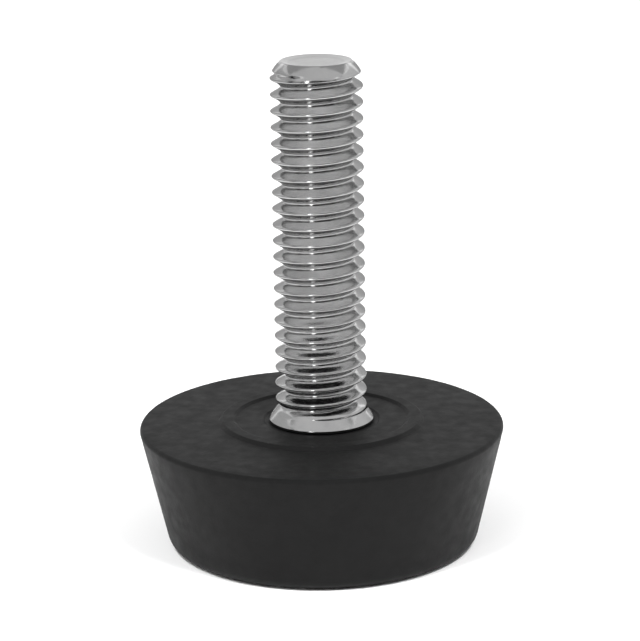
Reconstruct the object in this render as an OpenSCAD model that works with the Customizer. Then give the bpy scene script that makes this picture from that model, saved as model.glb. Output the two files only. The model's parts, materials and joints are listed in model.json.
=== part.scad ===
// Leveling foot for furniture: a threaded steel stud moulded into a round rubber base.
// Millimetres, +Z up. The origin is the centre of the face that rests on the floor.

/* [Base] */
// Largest diameter of the base, just under its top edge
base_d = 31.75; // [28:0.25:40]
// Height of the base's top face in the middle, above the floor
base_h = 10.85; // [9.5:0.05:14]
// Slope of the top face from the middle down to its edge, in degrees
crown_slope = 1.7; // [0.5:0.1:4]
// Inward slope of the side wall, in degrees from the vertical, which makes the foot narrower than the top
wall_slope = 13.1; // [5:0.1:16]
// Radius of the edge that meets the floor
foot_edge_r = 1.2; // [0.6:0.1:2]
// Radius of the edge round the top face
top_edge_r = 0.35; // [0.1:0.05:0.8]
// Outer diameter of the raised ring on the top face
ring_d = 17.9; // [15:0.1:20]
// Width of that ring
ring_w = 1.5; // [1.2:0.1:2]
// Height of the ring above the top face
ring_rise = 0.3; // [0.2:0.05:0.6]
// Height of the seat inside the ring, where the collar sits
seat_rise = 0.1; // [0.05:0.05:0.15]

/* [Stud] */
// Major diameter of the thread
thread_d = 7.9375; // [6.35:0.0125:9.525]
// Turns of thread in an inch
turns_per_inch = 18; // [14:1:24]
// Height of the stud's tip above the middle of the base's top face
stud_rise = 31.75; // [25:0.25:50]
// Distance from the tip down to the first full crest, in turns
lead_turns = 1.8; // [1.5:0.1:2.5]
// Diameter of the flat on the tip
tip_flat_d = 6.1; // [5:0.1:6.3]
// Height of the chamfer round that flat
point_h = 0.5; // [0.3:0.05:0.7]
// Diameter of the collar
collar_d = 9.2; // [8.6:0.1:12]
// Height of the collar's straight rim
collar_rim_h = 0.2; // [0.1:0.05:0.4]
// Height of the whole collar, where its sloping top meets the thread
collar_h = 1; // [0.7:0.05:1.1]

/* [Anchor] */
// Diameter of the steel plate inside the base
plate_d = 20; // [18:0.5:22]
// Thickness of that plate
plate_t = 1.6; // [1.2:0.1:2]
// Height of the plate's underside above the floor
plate_z = 3.6; // [3:0.1:4.5]
// Diameter of the four holes that the rubber runs through
lock_hole_d = 3; // [2:0.25:3.5]
// Width of the square tenon that keys the stud to the plate
tenon_w = 4.2; // [3.5:0.1:4.2]
// Diameter of the riveted head under the plate
rivet_d = 8.4; // [7.5:0.1:9]
// Height of the riveted head
rivet_h = 1; // [0.6:0.1:1.2]

/* [Hidden] */
$fn = 128;
inch = 25.4;
overlap = 0.2;              // how far a cut runs past a surface, and one shape into the next
lock_holes = 4;

// directions in which the two edges leave the top corner, inwards and down the wall
top_a = 180 - crown_slope;
top_b = 270 - wall_slope;
// where that corner would be before it is rounded, so that the rounded edge reaches base_d
top_corner_r = base_d / 2 - top_edge_r * (1 + cos((top_a + top_b) / 2) / sin((top_b - top_a) / 2));
ring_r = ring_d / 2;
rim_z = base_h - (top_corner_r - ring_r) * tan(crown_slope);
foot_r = top_corner_r - rim_z * tan(wall_slope);
ring_side = 0.35;           // how far the ring's sloping sides reach, outside and inside
seat_z = base_h + seat_rise;

pitch = inch / turns_per_inch;
thread_r = thread_d / 2;
crest_w = pitch / 8;        // flat left on each crest
root_w = pitch / 6;         // flat at the bottom of each groove
thread_depth = (pitch - crest_w - root_w) / 2 / tan(30);
root_r = thread_r - thread_depth;
tip_z = base_h + stud_rise;
flank_h = thread_depth * tan(30);       // height of a flank, from root to crest
collar_top_z = seat_z + collar_h;
first_crest_z = tip_z - lead_turns * pitch;
whole_turns = floor((first_crest_z - collar_top_z - flank_h) / pitch - 0.45);

plate_top_z = plate_z + plate_t;
lock_circle_r = (plate_d + rivet_d) / 4;

function heading(angle) = [cos(angle), sin(angle)];

// What is cut from a convex corner to round it. The two edges leave the corner at angles a and b.
module corner_waste(corner, a, b, r) {
    half = (b - a) / 2;
    edge_len = r / tan(half);
    centre = r / sin(half) * heading(a + half);
    translate(corner) difference() {
        polygon([-overlap * heading(a + half), edge_len * heading(a), centre, edge_len * heading(b)]);
        translate(centre) circle(r = r);
    }
}

// The base's outline from its axis outwards, as if it were solid rubber
module base_outline() {
    difference() {
        polygon([
            [0, 0],
            [foot_r, 0],
            [top_corner_r, rim_z],
            [ring_r, base_h],
            [ring_r - ring_side, base_h + ring_rise],
            [ring_r - ring_w + ring_side, base_h + ring_rise],
            [ring_r - ring_w, seat_z],
            [0, seat_z]
        ]);
        corner_waste([foot_r, 0], 90 - wall_slope, 180, foot_edge_r);
        corner_waste([top_corner_r, rim_z], top_a, top_b, top_edge_r);
    }
}

// One turn of thread, from the root below its crest to the root above. Each turn is a ring here.
function turn_points(crest_z) = [
    [root_r, crest_z - (pitch - root_w) / 2],
    [thread_r, crest_z - crest_w / 2],
    [thread_r, crest_z + crest_w / 2],
    [root_r, crest_z + (pitch - root_w) / 2]
];

// The tip. The blank is pointed before it is rolled, so the last turn is lower than the rest and runs into the point.
function tip_points() =
    let (last_root_z = first_crest_z + (pitch + root_w) / 2,
         last_r = thread_r - thread_depth * 0.1,
         point_r = root_r + thread_depth * 0.5)
    [
        [root_r, last_root_z],
        [last_r, last_root_z + (last_r - root_r) * tan(30)],
        [point_r, tip_z - point_h],
        [tip_flat_d / 2, tip_z],
        [0, tip_z]
    ];

// The stud's outline above the rubber: the collar, which slopes up from its rim to the thread, and the rod
module stud_outline() {
    collar_r = collar_d / 2;
    polygon([
        [0, seat_z],
        [collar_r, seat_z],
        [collar_r, seat_z + collar_rim_h],
        [thread_r, collar_top_z],
        [root_r, collar_top_z + flank_h],
        for (turn = [whole_turns : -1 : 0]) each turn_points(first_crest_z - turn * pitch),
        each tip_points()
    ]);
}

// The part of the stud inside the base: shank, square tenon and riveted head. The shank runs on into the collar.
module lower_stud() {
    translate([0, 0, plate_top_z]) cylinder(r = root_r, h = seat_z + overlap - plate_top_z);
    translate([-tenon_w / 2, -tenon_w / 2, plate_z - overlap])
        cube([tenon_w, tenon_w, plate_t + 2 * overlap]);
    translate([0, 0, plate_z - rivet_h]) cylinder(d1 = rivet_d - rivet_h, d2 = rivet_d, h = rivet_h);
}

module rubber_base() {
    color("#2b2b2d") difference() {
        rotate_extrude() base_outline();
        lower_stud();
        anchor_plate();
    }
}

module threaded_stud() {
    color("#c2c3c5") union() {
        rotate_extrude() stud_outline();
        lower_stud();
    }
}

module anchor_plate() {
    color("#8f9296") translate([0, 0, plate_z]) difference() {
        cylinder(d = plate_d, h = plate_t);
        translate([-tenon_w / 2, -tenon_w / 2, -overlap])
            cube([tenon_w, tenon_w, plate_t + 2 * overlap]);
        for (hole = [0 : lock_holes - 1])
            rotate(45 + hole * 360 / lock_holes)
                translate([lock_circle_r, 0, -overlap])
                    cylinder(d = lock_hole_d, h = plate_t + 2 * overlap);
    }
}

rubber_base();
threaded_stud();
anchor_plate();
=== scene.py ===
"""Furniture leveling foot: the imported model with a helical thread, a finished base and real materials."""

import json
import math

import bmesh
import bpy
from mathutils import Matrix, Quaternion, Vector


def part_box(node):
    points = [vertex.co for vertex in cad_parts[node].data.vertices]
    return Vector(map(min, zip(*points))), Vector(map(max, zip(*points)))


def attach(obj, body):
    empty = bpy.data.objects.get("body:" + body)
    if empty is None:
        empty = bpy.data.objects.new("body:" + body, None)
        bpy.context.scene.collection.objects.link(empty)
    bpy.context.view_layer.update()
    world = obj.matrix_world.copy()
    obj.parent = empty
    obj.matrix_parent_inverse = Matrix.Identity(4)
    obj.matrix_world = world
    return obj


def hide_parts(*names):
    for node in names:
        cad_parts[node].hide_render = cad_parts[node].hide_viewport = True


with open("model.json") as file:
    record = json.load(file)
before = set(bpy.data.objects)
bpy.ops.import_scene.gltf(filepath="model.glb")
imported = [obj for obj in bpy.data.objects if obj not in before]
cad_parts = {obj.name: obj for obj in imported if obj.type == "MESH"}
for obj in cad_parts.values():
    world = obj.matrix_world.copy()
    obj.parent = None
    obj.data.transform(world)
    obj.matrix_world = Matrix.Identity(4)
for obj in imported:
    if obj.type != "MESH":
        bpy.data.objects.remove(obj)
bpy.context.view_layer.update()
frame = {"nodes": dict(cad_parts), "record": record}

MM = 0.001
BODY = "root"

# Sizes in metres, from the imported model

base_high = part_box("rubber_base")[1]
stud_low, stud_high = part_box("threaded_stud")
plate_low, plate_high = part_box("anchor_plate")
thread_mount = next(m for m in frame["record"]["mounts"] if m["name"] == "stud_thread")
thread_r = thread_mount["dims"]["r_mm"] * MM
base_r = base_high.x
collar_r = stud_high.x
tip_z = stud_high.z

# Sizes of the base's details

ring_rise = 0.3 * MM
top_z = base_high.z - ring_rise
seat_z = top_z + 0.1 * MM
ring_r = 8.95 * MM
ring_w = 1.5 * MM
ring_side = 0.28 * MM                  # how far the ring's sloping sides reach
ring_edge_r = 0.12 * MM
ring_foot_r = 0.15 * MM
recess_r = 5.1 * MM                    # the rubber is a little lower round the collar
recess_depth = 0.12 * MM
recess_edge_r = 0.05 * MM
crown_slope = math.radians(1.7)
wall_slope = math.radians(13.1)
top_edge_r = 0.35 * MM
foot_edge_r = 1.2 * MM

# Sizes of the stud's details

pitch = 25.4 * MM / 18
crest_w = pitch / 8
root_w = pitch / 6
flank_slope = math.tan(math.radians(30))
thread_depth = (pitch - crest_w - root_w) / 2 / flank_slope
root_r = thread_r - thread_depth
crest_z = tip_z - 1.8 * pitch          # a crest's height at the front, where the angle is -90 degrees
crest_blend = 0.14 * MM                # depths over which the rolled thread's corners are rounded
root_blend = 0.25 * MM
rim_top_z = seat_z + 0.2 * MM
collar_top_z = seat_z + 1.0 * MM
full_groove_z = seat_z + 1.9 * MM      # the thread's groove gets shallower from here down to the collar
collar_foot_r = 0.05 * MM
rim_edge_r = 0.08 * MM
point_z = tip_z - 1.6 * MM
groove_end_z = tip_z - 0.85 * MM
groove_fade = 0.2 * MM
tip_flat_r = 3.05 * MM
tip_rim_w = 0.15 * MM                  # the tip's face is dished inside a narrow flat rim
tip_dish_r = tip_flat_r - 0.7 * MM
tip_dish = 0.12 * MM
rivet_r = 4.2 * MM
rivet_small_r = rivet_r - (plate_low.z - stud_low.z) / 2
rivet_edge_r = 0.1 * MM
tenon_w = 4.2 * MM
tenon_step = 0.01 * MM                 # the tenon is square from this far inside the plate's faces

COLUMNS = 192                          # points round every turned surface
FILLET_STEPS = 6
LONGEST_STEP = 0.8 * MM                # between two rings of a turned surface
MERGE_DISTANCE = 1e-4 * MM

# One turn of thread is sampled at these parts of a pitch from its crest: closest where crest and root end
TURN_SAMPLES = [0, 0.04, 0.0625, 0.085, 0.13, 0.22, 0.31, 0.38, 0.42, 0.46]


# Outlines


def fillet(before, corner, after, radius):
    """The points of an arc that rounds a corner of an outline. All are (r, z)."""
    corner = Vector(corner)
    a = (Vector(before) - corner).normalized()
    b = (Vector(after) - corner).normalized()
    half = a.angle(b) / 2
    centre = corner + (a + b).normalized() * radius / math.sin(half)
    start = corner + a * radius / math.tan(half) - centre
    sweep = (math.pi - 2 * half) * (1 if a.cross(b) < 0 else -1)
    points = []
    for i in range(FILLET_STEPS + 1):
        t = sweep * i / FILLET_STEPS
        r = start.x * math.cos(t) - start.y * math.sin(t)
        z = start.x * math.sin(t) + start.y * math.cos(t)
        points.append(centre + Vector((r, z)))
    return points


def outline(corners):
    """An outline through corners (r, z, radius), each rounded, with its long stretches divided."""
    points = []
    for i, (r, z, radius) in enumerate(corners):
        if radius:
            points += fillet(corners[i - 1][:2], (r, z), corners[i + 1][:2], radius)
        else:
            points.append(Vector((r, z)))
    divided = [points[0]]
    for p, q in zip(points, points[1:]):
        steps = max(1, math.ceil((q - p).length / LONGEST_STEP))
        divided += [p.lerp(q, i / steps) for i in range(1, steps + 1)]
    return divided


def column_angle(i):
    return 2 * math.pi * i / COLUMNS


def lathe(bm, points, radius_at=None):
    """Turns an outline round the axis. radius_at(angle, r, z) may change a point's radius."""
    last = None
    for r, z in points:
        if r < 1e-6:
            ring = [bm.verts.new((0, 0, z))] * COLUMNS
        else:
            ring = []
            for i in range(COLUMNS):
                a = column_angle(i)
                at = radius_at(a, r, z) if radius_at else r
                ring.append(bm.verts.new((at * math.cos(a), at * math.sin(a), z)))
        if last:
            for i in range(COLUMNS):
                j = (i + 1) % COLUMNS
                bm.faces.new(list(dict.fromkeys([last[i], last[j], ring[j], ring[i]])))
        last = ring


def to_object(bm, name):
    """Closes the seams between the surfaces that share a mesh, and makes it a smooth object."""
    bmesh.ops.remove_doubles(bm, verts=bm.verts, dist=MERGE_DISTANCE)
    bmesh.ops.recalc_face_normals(bm, faces=bm.faces)
    mesh = bpy.data.meshes.new(name)
    bm.to_mesh(mesh)
    bm.free()
    mesh.shade_smooth()
    obj = bpy.data.objects.new(name, mesh)
    bpy.context.scene.collection.objects.link(obj)
    return obj


# The rubber base


def make_base():
    """The moulding, outside and in: its cavity fits the stud's shank, the anchor plate and the rivet."""
    # the corner between top and wall before it is rounded, so that the rounded edge reaches base_r
    corner_half = (math.pi / 2 - wall_slope + crown_slope) / 2
    corner_tilt = (wall_slope + crown_slope) / 2 - math.pi / 4
    corner_r = base_r - top_edge_r * (1 - math.cos(corner_tilt) / math.sin(corner_half))
    rim_z = top_z - (corner_r - ring_r) * math.tan(crown_slope)
    foot_r = corner_r - rim_z * math.tan(wall_slope)
    corners = [
        (0, 0, 0),
        (foot_r, 0, foot_edge_r),
        (corner_r, rim_z, top_edge_r),
        (ring_r, top_z, ring_foot_r),
        (ring_r - ring_side, base_high.z, ring_edge_r),
        (ring_r - ring_w + ring_side, base_high.z, ring_edge_r),
        (ring_r - ring_w, seat_z, ring_edge_r),
        (recess_r, seat_z, recess_edge_r),
        (recess_r - recess_depth, seat_z - recess_depth, recess_edge_r),
        (root_r, seat_z - recess_depth, 0),
        (root_r, plate_high.z, 0),
        (plate_high.x, plate_high.z, 0),
        (plate_high.x, plate_low.z, 0),
        (rivet_r, plate_low.z, 0),
        (rivet_small_r, stud_low.z, 0),
        (0, stud_low.z, 0),
    ]
    bm = bmesh.new()
    lathe(bm, outline(corners))
    return to_object(bm, "base_moulding")


# The stud


def smooth_min(a, b, blend):
    """The lower of two values, with the corner between them rounded over the blend."""
    h = max(blend - abs(a - b), 0) / blend
    return min(a, b) - h * h * blend / 4


def thread_radius(angle, z):
    """Radius of the right-hand thread's surface, which climbs one pitch in a turn."""
    turns = (z - crest_z) / pitch - (angle + math.pi / 2) / (2 * math.pi)
    from_crest = abs(turns - round(turns)) * pitch
    flank = thread_r - (from_crest - crest_w / 2) / flank_slope
    crested = smooth_min(thread_r, flank, crest_blend)
    return -smooth_min(-crested, -root_r, root_blend)


def ramp(z, low, high):
    """How far z is from low to high: 0 below low, 1 above high."""
    return min(max((z - low) / (high - low), 0), 1)


def point_radius(z):
    """Radius that the rounded point leaves. The blank is pointed before it is rolled."""
    return thread_r + (tip_flat_r - thread_r) * ramp(z, point_z, tip_z) ** 1.9


def collar_radius(z):
    """Radius of the collar above its rim, a cone that bulges a little and ends at the thread."""
    return collar_r + (thread_r - collar_r) * ramp(z, rim_top_z, collar_top_z) ** 1.1


def rod_radius(angle, z):
    """The collar, then the thread, whose groove runs out at the collar and fades away at the tip."""
    if z < collar_top_z:
        return collar_radius(z)
    grooved = thread_r + (thread_radius(angle, z) - thread_r) * ramp(z, collar_top_z, full_groove_z)
    grooved = min(grooved, point_radius(z))
    return grooved + (point_radius(z) - grooved) * ramp(z, groove_end_z - groove_fade, groove_end_z)


def thread_rows(bm, low, high):
    """The rod's surface between two heights, in rows that follow the helix, so that crests are clean lines.

    Rows that would pass either end lie on it, and merge there.
    """
    fractions = sorted(TURN_SAMPLES + [0.5] + [1 - s for s in TURN_SAMPLES[1:]])
    turns = math.ceil((high - low) / pitch) + 2
    start = crest_z - math.ceil((crest_z - low) / pitch + 1) * pitch
    last = None
    for turn in range(turns + 1):
        for fraction in fractions:
            row = []
            for i in range(COLUMNS + 1):
                a = column_angle(i)
                z = start + (turn + fraction + (a + math.pi / 2) / (2 * math.pi)) * pitch
                z = min(max(z, low), high)
                r = rod_radius(a, z)
                row.append(bm.verts.new((r * math.cos(a), r * math.sin(a), z)))
            if last:
                for i in range(COLUMNS):
                    bm.faces.new([last[i], last[i + 1], row[i + 1], row[i]])
            last = row


def square_radius(angle, r, z):
    """Radius of the square tenon inside the plate, and the outline's own radius elsewhere."""
    if plate_low.z + tenon_step / 2 < z < plate_high.z - tenon_step / 2:
        return tenon_w / 2 / max(abs(math.cos(angle)), abs(math.sin(angle)))
    return r


def make_stud():
    """The stud in one mesh: rivet, tenon, shank and the collar's rim, then the helical rod, then the tip."""
    thread_from = rim_top_z + 0.2 * MM
    below = outline([
        (0, stud_low.z, 0),
        (rivet_small_r, stud_low.z, rivet_edge_r),
        (rivet_r, plate_low.z, 0),
        (tenon_w / 2, plate_low.z, 0),
        (tenon_w / 2, plate_low.z + tenon_step, 0),
        (tenon_w / 2, plate_high.z - tenon_step, 0),
        (tenon_w / 2, plate_high.z, 0),
        (root_r, plate_high.z, 0),
        (root_r, seat_z, 0),
        (collar_r, seat_z, collar_foot_r),
        (collar_r, rim_top_z, rim_edge_r),
        (collar_radius(thread_from), thread_from, 0),
    ])
    tip = outline([
        (tip_flat_r, tip_z, 0),
        (tip_flat_r - tip_rim_w, tip_z, 0),
        (tip_dish_r, tip_z - tip_dish, 0),
        (0, tip_z - tip_dish, 0),
    ])
    bm = bmesh.new()
    lathe(bm, below, square_radius)
    thread_rows(bm, thread_from, tip_z)
    lathe(bm, tip)
    return to_object(bm, "helical_stud")


# Materials


class Nodes:
    """A new material's node tree, with the calls that the materials here share."""

    def __init__(self, name):
        self.material = bpy.data.materials.new(name)
        self.material.use_nodes = True
        self.tree = self.material.node_tree
        self.shader = self.tree.nodes["Principled BSDF"]
        self.place = self.node("ShaderNodeTexCoord").outputs["Object"]

    def node(self, kind):
        return self.tree.nodes.new(kind)

    def link(self, source, target):
        self.tree.links.new(source, target)

    def value(self, socket, value):
        self.shader.inputs[socket].default_value = value

    def noise(self, scale, detail=4.0):
        made = self.node("ShaderNodeTexNoise")
        made.inputs["Scale"].default_value = scale
        made.inputs["Detail"].default_value = detail
        self.link(self.place, made.inputs["Vector"])
        return made.outputs["Fac"]

    def between(self, fac, low, high, from_low=0.3, from_high=0.7):
        """A number that goes from low to high as the factor goes from from_low to from_high."""
        made = self.node("ShaderNodeMapRange")
        self.link(fac, made.inputs["Value"])
        limits = {"From Min": from_low, "From Max": from_high, "To Min": low, "To Max": high}
        for name, number in limits.items():
            made.inputs[name].default_value = number
        return made.outputs["Result"]

    def mix_grey(self, fac, low, high):
        """A grey that goes from low to high as the factor goes from 0.3 to 0.7."""
        made = self.node("ShaderNodeValToRGB")
        for stop, place, grey in zip(made.color_ramp.elements, (0.3, 0.7), (low, high)):
            stop.position = place
            stop.color = (grey, grey, grey, 1)
        self.link(fac, made.inputs["Fac"])
        return made.outputs["Color"]

    def bump(self, height, distance, strength, normal=None):
        made = self.node("ShaderNodeBump")
        made.inputs["Strength"].default_value = strength
        made.inputs["Distance"].default_value = distance
        self.link(height, made.inputs["Height"])
        if normal:
            self.link(normal, made.inputs["Normal"])
        return made.outputs["Normal"]


def rubber():
    """Matt black rubber, faintly cloudy, with a fine grain."""
    m = Nodes("black_rubber")
    cloudy = m.noise(140, detail=3)
    m.link(m.mix_grey(cloudy, 0.007, 0.0085), m.shader.inputs["Base Color"])
    m.link(m.between(m.noise(900), 0.48, 0.6), m.shader.inputs["Roughness"])
    m.value("Specular IOR Level", 0.11)
    grain = m.bump(m.noise(5000, detail=2), 0.015 * MM, 0.6)
    m.link(m.bump(cloudy, 0.03 * MM, 0.3, grain), m.shader.inputs["Normal"])
    return m.material


def plated_steel():
    """Bright zinc plate. It darkens where it is seen edge on, except on the flat face of the tip."""
    m = Nodes("zinc_plated_steel")
    patches = m.noise(500)
    m.link(m.mix_grey(patches, 0.4, 0.46), m.shader.inputs["Base Color"])
    m.value("Metallic", 1.0)
    height = m.node("ShaderNodeSeparateXYZ")
    m.link(m.place, height.inputs["Vector"])
    edge_tint = m.between(height.outputs["Z"], 0.55, 1.0, tip_z - 0.2 * MM, tip_z - 0.1 * MM)
    m.link(edge_tint, m.shader.inputs["Specular Tint"])
    m.link(m.between(m.noise(1600), 0.11, 0.19), m.shader.inputs["Roughness"])
    m.link(m.bump(m.noise(2600, detail=3), 0.012 * MM, 0.5), m.shader.inputs["Normal"])
    return m.material


def plain_steel():
    """Bare stamped steel."""
    m = Nodes("stamped_steel")
    m.link(m.mix_grey(m.noise(700), 0.3, 0.42), m.shader.inputs["Base Color"])
    m.value("Metallic", 1.0)
    m.link(m.between(m.noise(1500), 0.35, 0.5), m.shader.inputs["Roughness"])
    return m.material


def dress(obj, material):
    obj.data.materials.clear()
    obj.data.materials.append(material)


# Pieces

base = make_base()
dress(base, rubber())
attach(base, BODY)
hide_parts("rubber_base")

stud = make_stud()
dress(stud, plated_steel())
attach(stud, BODY)
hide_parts("threaded_stud")

dress(frame["nodes"]["anchor_plate"], plain_steel())


# Stage, light and camera


def make_floor():
    bm = bmesh.new()
    bmesh.ops.create_grid(bm, x_segments=8, y_segments=8, size=3)
    floor = to_object(bm, "floor")
    m = Nodes("pale_floor")
    m.value("Base Color", (0.9, 0.9, 0.9, 1))
    m.value("Roughness", 0.9)
    m.value("Specular IOR Level", 0.0)
    dress(floor, m.material)


def add_light(name, kind, place, aim, watts):
    light = bpy.data.lights.new(name, kind)
    light.energy = watts
    obj = bpy.data.objects.new(name, light)
    bpy.context.scene.collection.objects.link(obj)
    obj.location = place
    obj.rotation_euler = (Vector(aim) - obj.location).to_track_quat("-Z", "Y").to_euler()
    return obj


def softbox(name, place, size, radiance, aim=(0, 0, 0.02)):
    """A rectangle of light that faces its aim, by default the foot."""
    obj = add_light(name, "AREA", place, aim, radiance * math.pi * size[0] * size[1])
    obj.data.shape = "RECTANGLE"
    obj.data.size, obj.data.size_y = size


def floor_light(name, place, aim, angle, watts):
    """A soft spot that whitens the floor round the foot and isn't seen in the steel."""
    obj = add_light(name, "SPOT", place, aim, watts)
    obj.data.spot_size = math.radians(angle)
    obj.data.spot_blend = 0.6
    obj.data.shadow_soft_size = 0.06
    obj.visible_glossy = False


def make_world(grey):
    world = bpy.data.worlds.new("studio")
    bpy.context.scene.world = world
    world.use_nodes = True
    world.node_tree.nodes["Background"].inputs["Color"].default_value = (grey, grey, grey, 1)


def make_camera():
    """The photograph's view: 15.2 degrees above the foot, 230 mm away, rolled a little under a degree."""
    elevation = math.radians(15.2)
    roll = math.radians(-0.91)
    distance = 0.2305
    middle_z = 0.0222
    aim = Vector((0, 0, 0.0198))
    camera = bpy.data.cameras.new("camera")
    camera.lens = 150
    camera.sensor_width = 36
    camera.clip_start = 0.01
    camera.clip_end = 20
    obj = bpy.data.objects.new("camera", camera)
    bpy.context.scene.collection.objects.link(obj)
    obj.location = (0, -distance * math.cos(elevation), middle_z + distance * math.sin(elevation))
    facing = (aim - obj.location).to_track_quat("-Z", "Y")
    obj.rotation_mode = "QUATERNION"
    obj.rotation_quaternion = facing @ Quaternion((0, 0, 1), roll)
    bpy.context.scene.camera = obj


def make_lights():
    """A tent of softboxes, open at the front. The thread shows that as a dark band by a bright strip."""
    softbox("ceiling", (0, 0.3, 0.65), (1.6, 0.7), 0.5, aim=(0, 0.3, 0))
    softbox("ceiling_lip", (0, -0.475, 0.65), (1.6, 0.85), 0.85, aim=(0, -0.475, 0))
    softbox("left_wall", (-0.7, 0.25, 0.3), (1.1, 0.6), 0.65)
    softbox("right_wall", (0.7, 0.25, 0.3), (1.1, 0.6), 0.9)
    softbox("back_wall", (0, 0.8, 0.3), (1.4, 0.6), 0.9)
    softbox("front_left", (-0.62, -0.5, 0.3), (0.3, 0.6), 0.5)
    softbox("front_right", (0.7, -0.36, 0.3), (0.2, 0.6), 0.65)
    softbox("strip", (-0.3, -0.68, 0.25), (0.09, 0.5), 7)
    floor_light("left_pool", (-0.19, -0.28, 0.5), (0, 0, 0), 40, 10)
    floor_light("right_pool", (0.19, -0.28, 0.5), (0, 0, 0), 40, 10)
    floor_light("far_pool", (0, 0.25, 0.6), (0, 0.24, 0), 28, 9)


make_floor()
make_world(0.025)
make_lights()
make_camera()
bpy.context.scene.view_settings.view_transform = "Standard"
